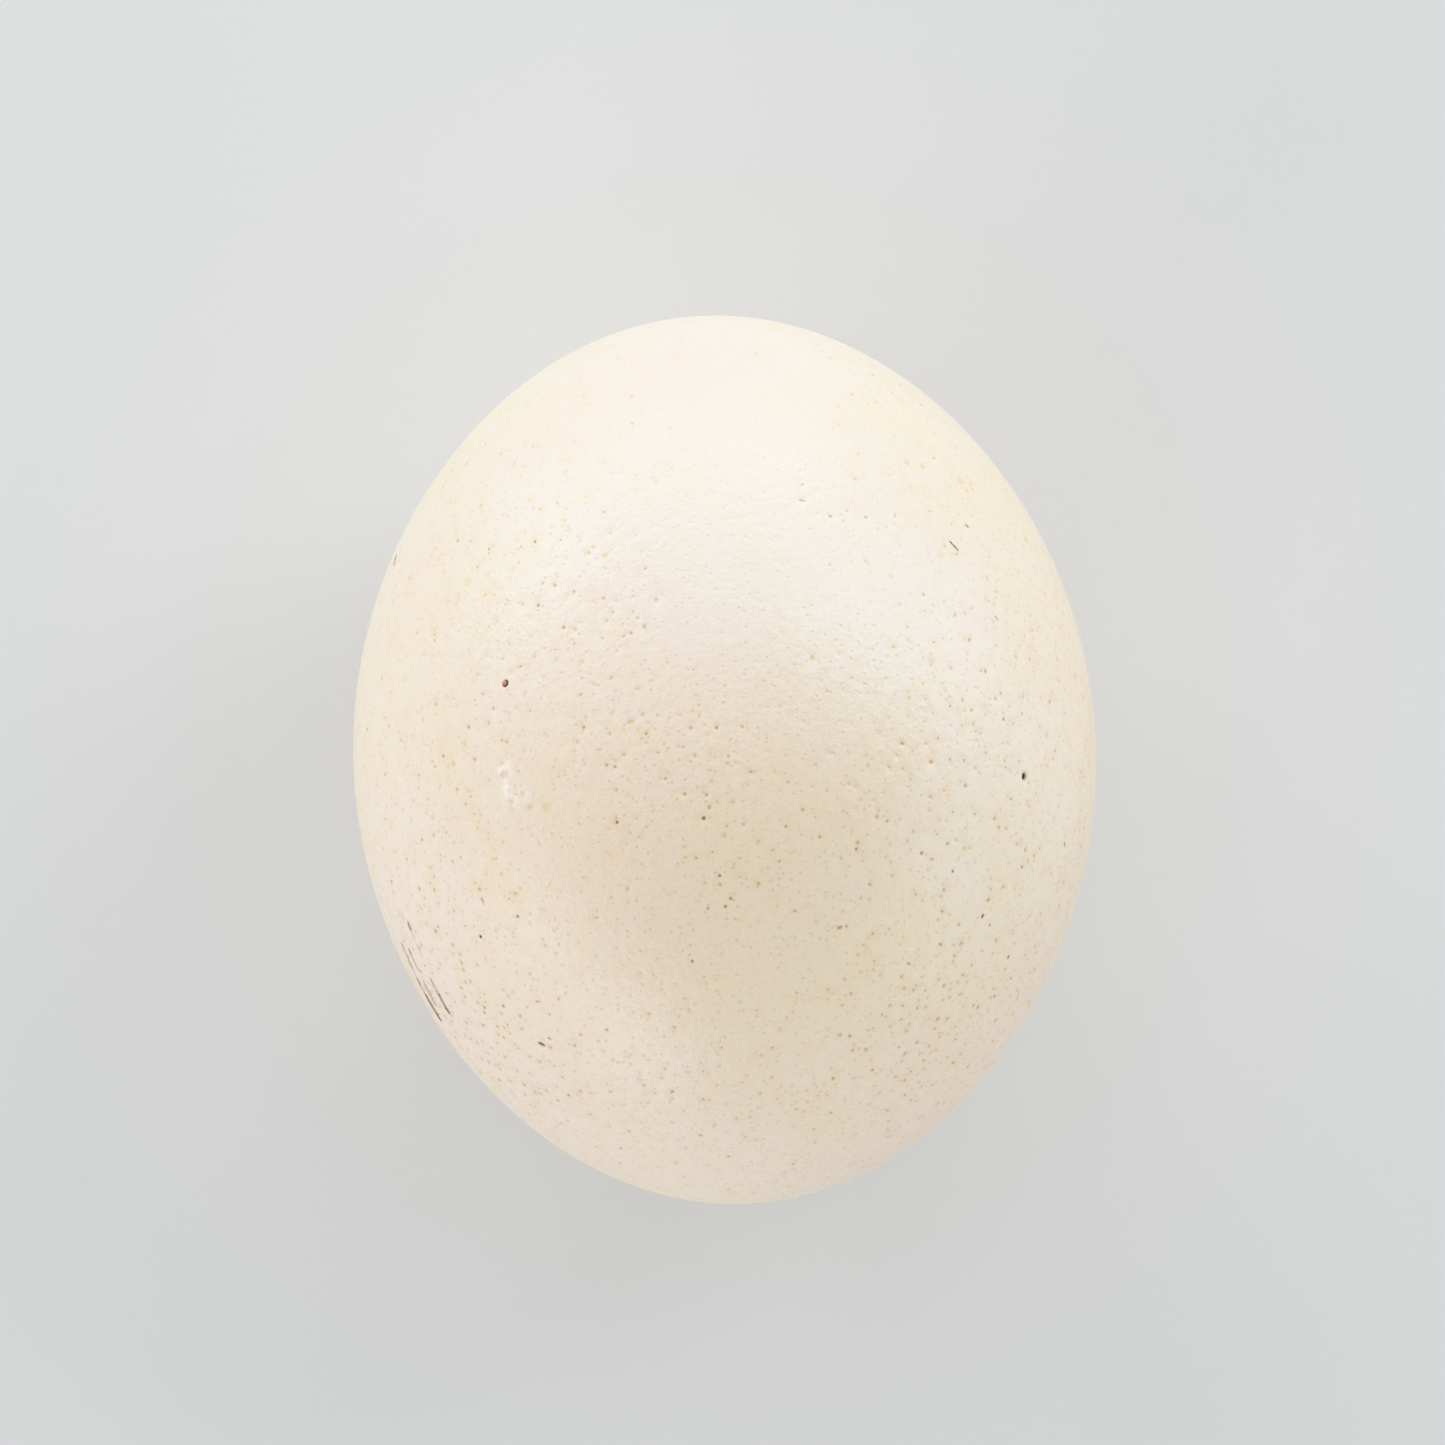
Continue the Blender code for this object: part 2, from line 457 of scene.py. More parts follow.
dig_specks(SOOTY_SPECKS, SOOT)
dig_specks(RUSTY_SPECKS, RUST)
dig_specks(BARKY_SPECKS, BARK)
dig_specks(TAN_SPECKS, TAN)
dig_specks(HONEY_SPECKS, HONEY)


# The oval pit
# The largest pore in the photo, on the left: an oval hole, orange on its left side and rusty dark round
# the rest of it.

OVAL_PIT = (505.1, 683.4)  # pixels
OVAL_PIT_END = (507.3, 679.5)
OVAL_PIT_LIGHT_SPOT = (503.2, 682.0)
LIGHT_SPOT_REACH = 0.00040
OVAL_PIT_HALF_WIDTH = 0.00062
OVAL_PIT_DEPTH = 0.00030
OVAL_PIT_CLEARANCE = 0.0003
OVAL_PIT_SIDES = 14
OVAL_PIT_RINGS = (  # shares of reach, depth and dirt
    (0.0, 1.0, 1.0),
    (0.3, 1.0, 1.0),
    (0.6, 0.95, 1.0),
    (0.84, 0.55, 1.0),
    (1.04, 0.0, 0.0),
    (1.4, 0.0, 0.0),
)
ORANGE_SIDE = np.array((1.0, 0.60, 0.35))
DARK_SIDE = np.array((0.11, 0.008, 0.0))

oval_direction = seen_at(*OVAL_PIT)[None]
oval_spot = shell_points(oval_direction)
oval_long = spot_at(*OVAL_PIT_END) - oval_spot
oval_short = OVAL_PIT_HALF_WIDTH * unit(np.cross(shell_normals(oval_direction), oval_long))
for share, depth_share, dirt_share in OVAL_PIT_RINGS:
    corners = OVAL_PIT_SIDES if share > 0 else 1
    angles = math.tau * np.arange(corners)[:, None] / corners
    places = oval_spot + share * (np.cos(angles) * oval_long + np.sin(angles) * oval_short)
    lightness = hump(distances_to(places, OVAL_PIT_LIGHT_SPOT), LIGHT_SPOT_REACH)[:, None]
    tints = lightness * ORANGE_SIDE + (1 - lightness) * DARK_SIDE
    tints = tints * dirt_share + np.array(PIT_EDGE) * (1 - dirt_share)
    add_to_net(directions_to(places), -depth_share * OVAL_PIT_DEPTH, tints, dirt_share)
speck_spots.append(oval_spot[0])
outermost_ring = OVAL_PIT_RINGS[-1][0]
speck_clearances.append(outermost_ring * np.linalg.norm(oval_long) + OVAL_PIT_CLEARANCE)


# The pores
# About nine thousand shallow pits, each the mouth of a pore, as wide as a pinhead. They crowd in some
# places and thin out in others, and handling has left tan dirt in them, here more and there less.

OCHRE = (0.53, 0.35, 0.12)
UMBER = (0.20, 0.15, 0.10)
PORE_TINTS = {TAN: 0.42, OCHRE: 0.22, RUST: 0.16, BARK: 0.07, UMBER: 0.13}  # how many of each

PORE_TRIES = 14500
PORE_SPACING = 0.0012
PORE_SPACING_RANGE = (0.5, 1.5)  # as shares of the spacing
PORE_CROWDING = 0.16
PORE_CROWDING_PACE = 7
PORE_CLEAR_OF_FLAT = 0.0088
PORE_CLEAR_OF_SCAR = 0.0004
GRIMINESS = 0.42
GRIMINESS_PACE = 9
WAVES_IN_A_FIELD = 9
WAVE_PACE_RANGE = (0.6, 1.4)

SMALLEST_PORE = 0.00036
PORE_RANGE = 0.00030  # how much wider the widest is
PORE_RARITY = 1.4  # above 1, wide pores are rarer than small ones
GRIME_WIDENING = 0.14
PORE_ROOM = 0.58  # a pore's widest reach, as a share of the way to the next one
PORE_STRETCH = 0.3
PORE_STEEPNESS = (0.11, 0.31)  # depth as a share of reach
DIRTY_DEPTH = 2.4  # how fast a pore's depth grows with its dirt
LEAST_DEPTH = 0.15
SMALL_PORE_DEPTH = 0.70
LEAST_DIRT = 0.15
DIRT_RANGE = 0.18
DIRT_RARITY = 1.35  # above 1, very dirty pores stand out more
PORE_SIDES = 6
PORE_UNEVEN = 0.34
WIDE_PORE = 0.00050
WIDE_PORE_RINGS = ((0.0, 1.0, 1.0), (0.5, 0.6, 0.5), (1.0, 0.0, 0.0))
SMALL_PORE_RINGS = ((0.0, 1.0, 1.0), (1.0, 0.0, 0.0))
HIDDEN_SPECKS = 26
HIDDEN_SPECK_DIRT = (0.6, 1.0)
HIDDEN_SPECK_TINTS = (SOOT, RUST, BARK)
PORE_PATCHES = {  # middle in pixels, reach, how much wider apart, how much dirtier
    "bare cap": ((738, 405), 0.027, 2.1, 0.20),
    "cap's lower end": ((735, 530), 0.017, 1.6, 0.18),
    "middle, upper": ((745, 635), 0.013, 1.10, 0.40),
    "clean left of belly": ((575, 860), 0.018, 1.10, 0.32),
    "clean belly, low": ((590, 985), 0.016, 1.2, 0.32),
    "clean right of belly": ((780, 985), 0.016, 1.2, 0.30),
    "dirty belly": ((735, 893), 0.009, 1.0, 1.6),
    "middle": ((730, 780), 0.014, 1.0, 0.7),
    "right of the middle": ((905, 700), 0.014, 1.2, 0.75),
    "lower right": ((950, 860), 0.020, 1.0, 1.25),
    "dirty lower right": ((905, 1050), 0.023, 0.76, 3.0),
    "dirty lower left": ((440, 1000), 0.024, 0.84, 3.0),
    "dirty left": ((455, 860), 0.018, 0.9, 1.5),
    "dirty right": ((1000, 650), 0.014, 0.9, 1.4),
    "right edge": ((1078, 820), 0.018, 0.9, 1.5),
}


def scattered(count):
    """Random directions, spread evenly over the shell."""
    return unit(dice.normal(size=(count, 3)))


def slow_waves(directions, pace):
    """A slow random field over the shell, mostly between -1 and 1."""
    total = np.zeros(len(directions))
    for axis in scattered(WAVES_IN_A_FIELD):
        turns = directions @ axis * dice.uniform(*WAVE_PACE_RANGE) * pace
        total += np.sin(turns + dice.uniform(0, math.tau))
    return total / math.sqrt(2 * WAVES_IN_A_FIELD)


def far_from(points, middle, reach):
    return np.linalg.norm(points - middle, axis=1) > reach


def thin_out(points, spacings, kept_already=()):
    """Which of these points to keep, so that none lies closer to an earlier one than its spacing."""
    cell_size = float(spacings.max())
    cells = {}
    for point in kept_already:
        cells.setdefault(tuple((point // cell_size).astype(int)), []).append(point)
    kept = []
    steps = list(itertools.product((-1, 0, 1), repeat=3))
    homes = (points // cell_size).astype(int).tolist()
    for index, (point, (i, j, k), spacing) in enumerate(zip(points.tolist(), homes, spacings.tolist())):
        crowded = any(
            math.dist(point, other) < spacing
            for a, b, c in steps
            for other in cells.get((i + a, j + b, k + c), ())
        )
        if not crowded:
            kept.append(index)
            cells.setdefault((i, j, k), []).append(point)
    return np.array(kept)


def clear_ground(directions):
    """Leaves out directions to the scar and the specks."""
    points = shell_points(directions)
    clear = far_from(points, scar_point, SCAR_REACH + PORE_CLEAR_OF_SCAR)
    for spot, clearance in zip(speck_spots, speck_clearances):
        clear &= far_from(points, spot, clearance)
    return directions[clear]


pores = clear_ground(scattered(PORE_TRIES))
pores = pores[far_from(shell_points(pores), (0, 0, 0), PORE_CLEAR_OF_FLAT)]
pore_points = shell_points(pores)
spacings = PORE_SPACING * dice.uniform(*PORE_SPACING_RANGE, len(pores))
spacings *= 1 + PORE_CROWDING * slow_waves(pores, PORE_CROWDING_PACE)
griminess = np.exp(GRIMINESS * slow_waves(pores, GRIMINESS_PACE))
for middle, reach, wider_apart, dirtier in PORE_PATCHES.values():
    share = hump(distances_to(pore_points, middle), reach)
    spacings *= 1 + (wider_apart - 1) * share
    griminess *= 1 + (dirtier - 1) * share
kept = thin_out(pore_points, spacings)
pores = pores[kept]
pore_points = pore_points[kept]
griminess = griminess[kept]

pore_tree = KDTree(len(pores))
for index, point in enumerate(pore_points):
    pore_tree.insert(point, index)
pore_tree.balance()
gaps = np.array([pore_tree.find_n(point, 2)[1][2] for point in pore_points])

count = len(pores)
pore_reaches = SMALLEST_PORE + PORE_RANGE * dice.uniform(0, 1, count) ** PORE_RARITY
pore_reaches *= 1 + GRIME_WIDENING * np.clip(griminess - 1, 0, 2)
pore_reaches = np.minimum(pore_reaches, PORE_ROOM * gaps)
pore_stretches = 1 + PORE_STRETCH * dice.uniform(0, 1, count) ** 2
pore_dirt = (LEAST_DIRT + DIRT_RANGE * dice.exponential(1.0, count) ** DIRT_RARITY) * griminess
pore_dirt = np.clip(pore_dirt, 0, 1)
pore_depths = pore_reaches * dice.uniform(*PORE_STEEPNESS, count)
pore_depths *= np.clip(DIRTY_DEPTH * pore_dirt, LEAST_DEPTH, 1)
wide = pore_reaches > WIDE_PORE
pore_depths[~wide] *= SMALL_PORE_DEPTH
pore_leans = scattered(count)
tint_numbers = dice.choice(len(PORE_TINTS), count, p=list(PORE_TINTS.values()))
pore_tints = np.array(list(PORE_TINTS))[tint_numbers]

under_the_egg = np.flatnonzero(pore_points[:, 2] < AXIS_HEIGHT)
hidden_specks = dice.choice(under_the_egg, HIDDEN_SPECKS, replace=False)
pore_dirt[hidden_specks] = dice.uniform(*HIDDEN_SPECK_DIRT, HIDDEN_SPECKS)
tint_numbers = dice.choice(len(HIDDEN_SPECK_TINTS), HIDDEN_SPECKS)
pore_tints[hidden_specks] = np.array(HIDDEN_SPECK_TINTS)[tint_numbers]

for group, rings in ((wide, WIDE_PORE_RINGS), (~wide, SMALL_PORE_RINGS)):
    dig_pits(
        pores[group],
        pore_leans[group],
        pore_reaches[group],
        pore_stretches[group],
        pore_depths[group],
        pore_dirt[group],
        pore_tints[group],
        rings,
        PORE_SIDES,
        PORE_UNEVEN,
    )


# The bare shell between the pores
# Smooth lime. Plain points fill the gaps between the pits, so that the surface stays round there.

FILL_TRIES = 60000
FILL_SPACING = 0.00128

fillers = clear_ground(scattered(FILL_TRIES))
filler_spacings = np.full(len(fillers), FILL_SPACING)
fillers = fillers[thin_out(shell_points(fillers), filler_spacings, pore_points)]
add_to_net(fillers)


# The shell's skin
# The net's points, raised or sunk, joined into one closed skin without a seam. It keeps the dirt and the
# chalk white with its painted highlight at each of its corners.

SAME_PLACE = 1e-9


def span_triangles(directions):
    """Joins the points into the triangles that suit them best, on a flat map drawn from under the egg."""
    flat_map = directions[:, :2] / (1 + directions[:, 2:])
    corners = [Vector(place) for place in flat_map.tolist()]
    _, _, faces, origins, _, _ = delaunay_2d_cdt(corners, [], [], 0, SAME_PLACE)
    return [[origins[corner][0] for corner in face] for face in faces]


directions = np.concatenate(net_directions)
heights = np.concatenate(net_heights)
places = shell_points(directions) + shell_normals(directions) * heights[:, None]

shell_mesh = bpy.data.meshes.new("eggshell")
shell_mesh.from_pydata(places.tolist(), [], span_triangles(directions))
dirt_layer = shell_mesh.attributes.new("dirt", "FLOAT_COLOR", "POINT")
dirt_layer.data.foreach_set("color", np.concatenate(net_dirt).astype(np.float32).ravel())
# chalk white and painted highlight on the scar's rims
chalk_and_glint_layer = shell_mesh.attributes.new("chalk_and_glint", "FLOAT", "POINT")
chalk_and_glint_layer.data.foreach_set("value", np.concatenate(net_chalk_and_glint).astype(np.float32))


# The warm blotches
# Faint orange and tan stains, up to a few millimetres wide, soaked into the glaze, and small ones round
# some of the pores.

BLOTCHES = {  # middle in pixels, reach, strength
    "yellow, middle": ((728, 804), 0.0010, 0.3),
    "chain, middle": ((711, 805), 0.0009, 0.4),
    "left middle": ((556, 890), 0.0010, 0.35),
    "middle dot": ((573, 715), 0.0010, 0.3),
    "small ring": ((613, 859), 0.0009, 0.3),
    "speck's halo": ((615, 822), 0.0008, 0.8),
}
HIDDEN_BLOTCH_TRIES = 120  # about half of them land on the side that the photo doesn't show
HIDDEN_BLOTCH_REACHES = (0.0007, 0.0022)
HIDDEN_BLOTCH_STRENGTHS = (0.2, 0.7)
STAINED_ABOVE = 0.22  # the dirt from which a pore has a stain round it
STAIN_REACHES = (0.0005, 0.0009)
STAIN_STRENGTH = 0.7  # as a share of the pore's dirt
REACHES_SHOWN = 3  # how many reaches away a blotch still shows

blotch_spots = [spot_at(*middle) for middle, _, _ in BLOTCHES.values()]
blotch_reaches = [reach for _, reach, _ in BLOTCHES.values()]
blotch_strengths = [strength for _, _, strength in BLOTCHES.values()]
for direction in scattered(HIDDEN_BLOTCH_TRIES):
    if direction[2] < 0:
        blotch_spots.append(shell_points(direction[None])[0])
        blotch_reaches.append(dice.uniform(*HIDDEN_BLOTCH_REACHES))
        blotch_strengths.append(dice.uniform(*HIDDEN_BLOTCH_STRENGTHS))
stained = pore_dirt > STAINED_ABOVE
blotch_spots.extend(pore_points[stained])
blotch_reaches.extend(dice.uniform(*STAIN_REACHES, np.count_nonzero(stained)))
blotch_strengths.extend(STAIN_STRENGTH * pore_dirt[stained])

corner_points = np.empty(len(shell_mesh.vertices) * 3)
shell_mesh.vertices.foreach_get("co", corner_points)
corner_points = corner_points.reshape(-1, 3)
corner_tree = KDTree(len(corner_points))
for index, point in enumerate(corner_points):
    corner_tree.insert(point, index)
corner_tree.balance()
warmth = np.zeros(len(corner_points))
for spot, reach, strength in zip(blotch_spots, blotch_reaches, blotch_strengths):
    for _, index, distance in corner_tree.find_range(spot, REACHES_SHOWN * reach):
        warmth[index] += strength * hump(distance, reach)
warmth_layer = shell_mesh.attributes.new("warmth", "FLOAT", "POINT")
warmth_layer.data.foreach_set("value", np.clip(warmth, 0, 1).astype(np.float32))


# The tones of the cream
# The lime isn't one even cream. It drifts slowly between paler and deeper, rosier and yellower, and
# between clear and finely speckled. Some patches are painted light: paler and less rosy across the upper
# side, partly the lime's own tone and partly painted highlight; paler at the lower left edge, painted
# bounced light; deeper on the belly, painted shade; rosier on the left and paler, less rosy on the right,
# the painted tints of warmer and cooler light.

TONE_PACE = 5
PALENESS = 0.47
PALENESS_DRIFT = 0.12
PALE_AND_PAINTED_LIGHT_PATCHES = (  # middle in pixels, reach, how much paler
    ((600, 600), 0.017, 0.62),  # upper left, partly painted highlight
    ((750, 575), 0.016, 0.42),  # upper middle, partly painted highlight
    ((875, 590), 0.015, 0.42),  # upper right, partly painted highlight
    ((970, 650), 0.017, 0.36),  # right, partly painted highlight
    ((640, 400), 0.015, -0.12),  # cap
    ((530, 470), 0.015, 0.20),  # the cap's left
    ((740, 910), 0.024, -0.50),  # belly, painted shade
    ((620, 775), 0.014, -0.16),  # left of the middle
    ((900, 960), 0.016, -0.15),  # lower right
    ((560, 890), 0.018, -0.14),  # lower left
    ((400, 890), 0.014, 0.35),  # left edge, painted bounced light
    ((960, 870), 0.018, 0.16),  # right, lower, painted tint of cooler light
    ((1050, 735), 0.013, 0.25),  # right edge, painted tint of cooler light
)
ROSINESS = 0.30
ROSINESS_DRIFT = 0.06
ROSY_AND_LIGHT_TINT_PATCHES = (  # middle in pixels, reach, how much rosier
    ((700, 370), 0.026, 0.50),  # cap
    ((430, 560), 0.018, 0.25),  # left, painted tint of warmer light
    ((590, 860), 0.018, 0.12),  # lower left
    ((1020, 800), 0.022, -0.35),  # right, painted tint of cooler light
    ((890, 660), 0.014, -0.30),  # upper right, partly painted highlight
    ((720, 590), 0.015, -0.12),  # upper middle, partly painted highlight
    ((800, 570), 0.018, -0.11),  # upper middle, further right, partly painted highlight
    ((930, 940), 0.016, -0.20),  # lower right
)
SPECKLING = 0.62
SPECKLING_DRIFT = 0.06
SPECKLED_PATCHES = (  # middle in pixels, reach, how much more speckled
    ((738, 405), 0.027, -0.48),  # cap
    ((725, 535), 0.018, -0.30),  # the cap's lower end
    ((640, 760), 0.026, 0.22),  # left of the middle
    ((760, 950), 0.026, 0.30),  # belly
    ((985, 650), 0.018, -0.14),  # right
)


def tone_layer(name, level, drift, patches):
    """A tone of the shell at each of its corners: a level that drifts slowly, changed in some patches."""
    tone = level + drift * slow_waves(directions_to(corner_points), TONE_PACE)
    for middle, reach, change in patches:
        tone += change * hump(distances_to(corner_points, middle), reach)
    layer = shell_mesh.attributes.new(name, "FLOAT", "POINT")
    layer.data.foreach_set("value", np.clip(tone, 0, 1).astype(np.float32))


tone_layer("paleness", PALENESS, PALENESS_DRIFT, PALE_AND_PAINTED_LIGHT_PATCHES)
tone_layer("rosiness", ROSINESS, ROSINESS_DRIFT, ROSY_AND_LIGHT_TINT_PATCHES)
tone_layer("speckling", SPECKLING, SPECKLING_DRIFT, SPECKLED_PATCHES)


# The flat spot
# The egg rests on a small flat spot of its lowest side. The skin is cut off level there and closed, and
# then takes the place of the plain solid.

SNAP_TO_FLAT = 0.00001


def cut_flat_spot(mesh):
    """Cuts the shell off at the floor and closes it there."""
    surface = bmesh.new()
    surface.from_mesh(mesh)
    cut = bmesh.ops.bisect_plane(
        surface,
        geom=surface.verts[:] + surface.edges[:] + surface.faces[:],
        dist=SNAP_TO_FLAT,
        plane_co=(0, 0, 0),
        plane_no=(0, 0, -1),
        clear_outer=True,
    )
    rim = [part for part in cut["geom_cut"] if isinstance(part, bmesh.types.BMEdge)]
    for edge in rim:
        for corner in edge.verts:
            corner.co.z = 0
    bmesh.ops.contextual_create(surface, geom=rim)
    bmesh.ops.recalc_face_normals(surface, faces=surface.faces[:])
    surface.to_mesh(mesh)
    surface.free()


cut_flat_spot(shell_mesh)
shell_mesh.shade_smooth()
egg = bpy.data.objects.new("eggshell", shell_mesh)
bpy.context.scene.collection.objects.link(egg)
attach(egg, "root")
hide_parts("ostrich_egg")


# The pencil marks
# Dark strokes side by side at the lower left and two short ticks higher up, drawn or rubbed on. They lie
# on the glaze and have no depth. Each row has a stroke's ends in pixels, half its width and its strength.

SMUDGE = (0.080, 0.036, 0.014, 1)
PENCIL_GRAIN = (3600.0, 2.0)  # how many grains to the metre, and how many layers of finer detail
PENCIL_WEAR = (0.3, 0.62, 0.35, 1.15)  # two values of the grain, and how much of a stroke they leave
PENCIL_STROKES = (
    (408.7, 924.3, 410.5, 928.9, 0.00080, 0.95),
    (411.1, 930.6, 414.5, 938.5, 0.00060, 0.30),
    (417.5, 945.8, 421.8, 955.3, 0.00070, 0.28),
    (402.6, 945.1, 404.4, 949.6, 0.00085, 0.90),
    (404.4, 949.6, 410.1, 963.2, 0.00085, 0.62),
    (409.4, 950.2, 410.6, 953.0, 0.00070, 1.10),
    (410.8, 953.3, 417.3, 968.1, 0.00075, 0.60),
    (410.1, 963.2, 411.6, 966.4, 0.00110, 0.95),
    (411.6, 966.4, 413.3, 970.2, 0.00075, 0.60),
    (408.4, 972.4, 420.6, 995.6, 0.00075, 0.38),
    (420.6, 995.6, 431.0, 1013.1, 0.00075, 0.45),
    (414.1, 971.8, 418.0, 979.8, 0.00065, 0.50),
    (417.9, 979.8, 420.2, 984.4, 0.00090, 1.30),
    (420.4, 984.7, 427.1, 997.2, 0.00075, 0.80),
    (426.7, 996.4, 429.0, 1000.7, 0.00115, 1.60),
    (429.0, 1000.7, 436.2, 1012.7, 0.00095, 1.15),
    (430.7, 1003.4, 434.0, 1009.1, 0.00190, 0.85),
    (436.2, 1012.7, 439.7, 1018.5, 0.00110, 1.60),
    (425.8, 986.3, 434.8, 1003.0, 0.00130, 0.55),
    (431.2, 979.9, 433.5, 984.6, 0.00080, 0.65),
    (433.6, 984.8, 438.8, 994.6, 0.00120, 0.50),
    (439.0, 994.8, 446.1, 1007.9, 0.00085, 1.00),
    (446.6, 1008.8, 448.3, 1011.5, 0.00090, 1.50),
    (395.8, 555.5, 394.0, 564.0, 0.00062, 1.00),
    (950.2, 542.0, 957.4, 549.8, 0.00036, 0.98),
)


def lay(tree, kind, inputs, **settings):
    """Adds a node with its settings, its values and the sockets that feed it."""
    node = tree.nodes.new("ShaderNode" + kind)
    for name, value in settings.items():
        setattr(node, name, value)
    for name, value in inputs.items():
        if isinstance(value, bpy.types.NodeSocket):
            tree.links.new(value, node.inputs[name])
        else:
            node.inputs[name].default_value = value
    return node


def times(tree, value, factor):
    return lay(tree, "Math", {0: value, 1: factor}, operation="MULTIPLY").outputs[0]


def remapped(tree, value, low, high, new_low, new_high, kind="LINEAR"):
    """Stretches the values from low to high over those from the new low to the new high."""
    inputs = {"Value": value, "From Min": low, "From Max": high, "To Min": new_low, "To Max": new_high}
    return lay(tree, "MapRange", inputs, interpolation_type=kind).outputs[0]


def noise(tree, position, scale, detail):
    return lay(tree, "TexNoise", {"Vector": position, "Scale": scale, "Detail": detail}).outputs[0]


def stroke_group():
    """A mask that is 1 along the line from one point to another and fades out at half a width from it."""
    group = bpy.data.node_groups.new("pencil_stroke", "ShaderNodeTree")
    for name in ("Position", "From", "To"):
        group.interface.new_socket(name, in_out="INPUT", socket_type="NodeSocketVector")
    for name in ("Half Width", "Strength"):
        group.interface.new_socket(name, in_out="INPUT", socket_type="NodeSocketFloat")
    group.interface.new_socket("Mask", in_out="OUTPUT", socket_type="NodeSocketFloat")
    given = group.nodes.new("NodeGroupInput").outputs
    line = lay(group, "VectorMath", {0: given["To"], 1: given["From"]}, operation="SUBTRACT").outputs[0]
    to_here = {0: given["Position"], 1: given["From"]}
    offset = lay(group, "VectorMath", to_here, operation="SUBTRACT").outputs[0]
    covered = lay(group, "VectorMath", {0: offset, 1: line}, operation="DOT_PRODUCT").outputs["Value"]
    whole = lay(group, "VectorMath", {0: line, 1: line}, operation="DOT_PRODUCT").outputs["Value"]
    share = lay(group, "Math", {0: covered, 1: whole}, operation="DIVIDE", use_clamp=True).outputs[0]
    nearest = lay(group, "VectorMath", {0: line, "Scale": share}, operation="SCALE").outputs[0]
    gap = lay(group, "VectorMath", {0: offset, 1: nearest}, operation="DISTANCE").outputs["Value"]
    fade = remapped(group, gap, 0.0, given["Half Width"], 1.0, 0.0, "SMOOTHSTEP")
    shown = group.nodes.new("NodeGroupOutput")
    group.links.new(times(group, fade, given["Strength"]), shown.inputs["Mask"])
    return group


def pencil_mask(tree, position):
    """All the strokes together, broken up by the shell's fine grain."""
    group = stroke_group()
    together = None
    for start_x, start_y, end_x, end_y, half_width, strength in PENCIL_STROKES:
        node = tree.nodes.new("ShaderNodeGroup")
        node.node_tree = group
        node.inputs["From"].default_value = spot_at(start_x, start_y)
        node.inputs["To"].default_value = spot_at(end_x, end_y)
        node.inputs["Half Width"].default_value = half_width
        node.inputs["Strength"].default_value = strength
        tree.links.new(position, node.inputs["Position"])
        mask = node.outputs["Mask"]
        if together is not None:
            mask = lay(tree, "Math", {0: together, 1: mask}, operation="MAXIMUM").outputs[0]
        together = mask
    patchy = remapped(tree, noise(tree, position, *PENCIL_GRAIN), *PENCIL_WEAR)
    worn = lay(tree, "Math", {0: together, 1: patchy}, operation="MULTIPLY", use_clamp=True)
    return worn.outputs[0]


# The glaze
# A thin satin skin over cream-coloured lime, polished by handling. Its cream clouds over slowly, a fine
# grain keeps it from being a mirror, and dots too small to be pits are scattered in it.

DEEP_CREAM = (0.918, 0.815, 0.582, 1)
PALE_CREAM = (0.925, 0.860, 0.765, 1)
ROSE_CREAM = (0.925, 0.730, 0.655, 1)
YELLOW_STAIN = (0.925, 0.745, 0.430, 1)
WARM_STAIN = (0.84, 0.53, 0.24, 1)
# Chalk white, also painting the highlight on the scar's rims.
CHALK_AND_GLINT_WHITE = (1.0, 0.942, 0.862, 1)

CLOUDS = (60.0, 2.0)  # how many to the metre, and how many layers of finer detail
FLECKS = (330.0, 3.0)
PEBBLES = (620.0, 0.0)
GRAINS = (1500.0, 2.0)
DOTS_TO_THE_METRE = 720.0
DOT_EDGE = (0.05, 0.26, 1.0, 0.0)  # two distances from a dot's middle, and how solid it is there

CLOUDING = (0.3, 0.7, -0.2, 0.2)  # two values of the clouds, and how much paler they make the cream
FLECK_SHARE = (0.5, 0.75, 0.0, 0.21)  # two values of the flecks, and how much stain they bring
PEBBLE_SHARE = (0.6, 0.85, 0.0, 0.32)
GRAIN_SHARE = (0.5, 0.75, 0.0, 0.13)
DOT_SHARE = 0.32
DIRT_HALO = (0.0, 0.3, 0.0, 0.36)  # two values of the dirt, and how yellow the halo is there
DIRT_SHARPNESS = 1.2  # above 1, thin dirt shows less
WARM_STAIN_SHARE = 0.26

POLISH = (0.3, 0.7, 0.34, 0.42)  # two values of the flecks, and how rough the glaze is there
SOILED_ROUGHNESS = 0.7
CHALK_AND_GLINT_ROUGHNESS = 0.3
GLAZE_IOR = 1.56
PEBBLE_RELIEF = 0.8  # as a share of the grain's
DOT_RELIEF = -0.6
RELIEF_HEIGHT = 0.00010


def mixed(tree, share, first, second):
    node = lay(tree, "Mix", {"Factor": share, "A": first, "B": second}, data_type="RGBA")
    return node.outputs["Result"]


def kept_at_corners(tree, name):
    """The tone or mark that the shell's mesh keeps under this name."""
    return lay(tree, "Attribute", {}, attribute_name=name).outputs["Fac"]


def cream(tree, clouds):
    """The lime's colour: paler, deeper and rosier by turns, with painted highlight, shade and light tints in
    some patches.
    """
    cloudy = remapped(tree, clouds, *CLOUDING)
    paleness = {0: kept_at_corners(tree, "paleness"), 1: cloudy}
    paleness = lay(tree, "Math", paleness, operation="ADD", use_clamp=True).outputs[0]
    colour = mixed(tree, paleness, DEEP_CREAM, PALE_CREAM)
    return mixed(tree, kept_at_corners(tree, "rosiness"), colour, ROSE_CREAM)


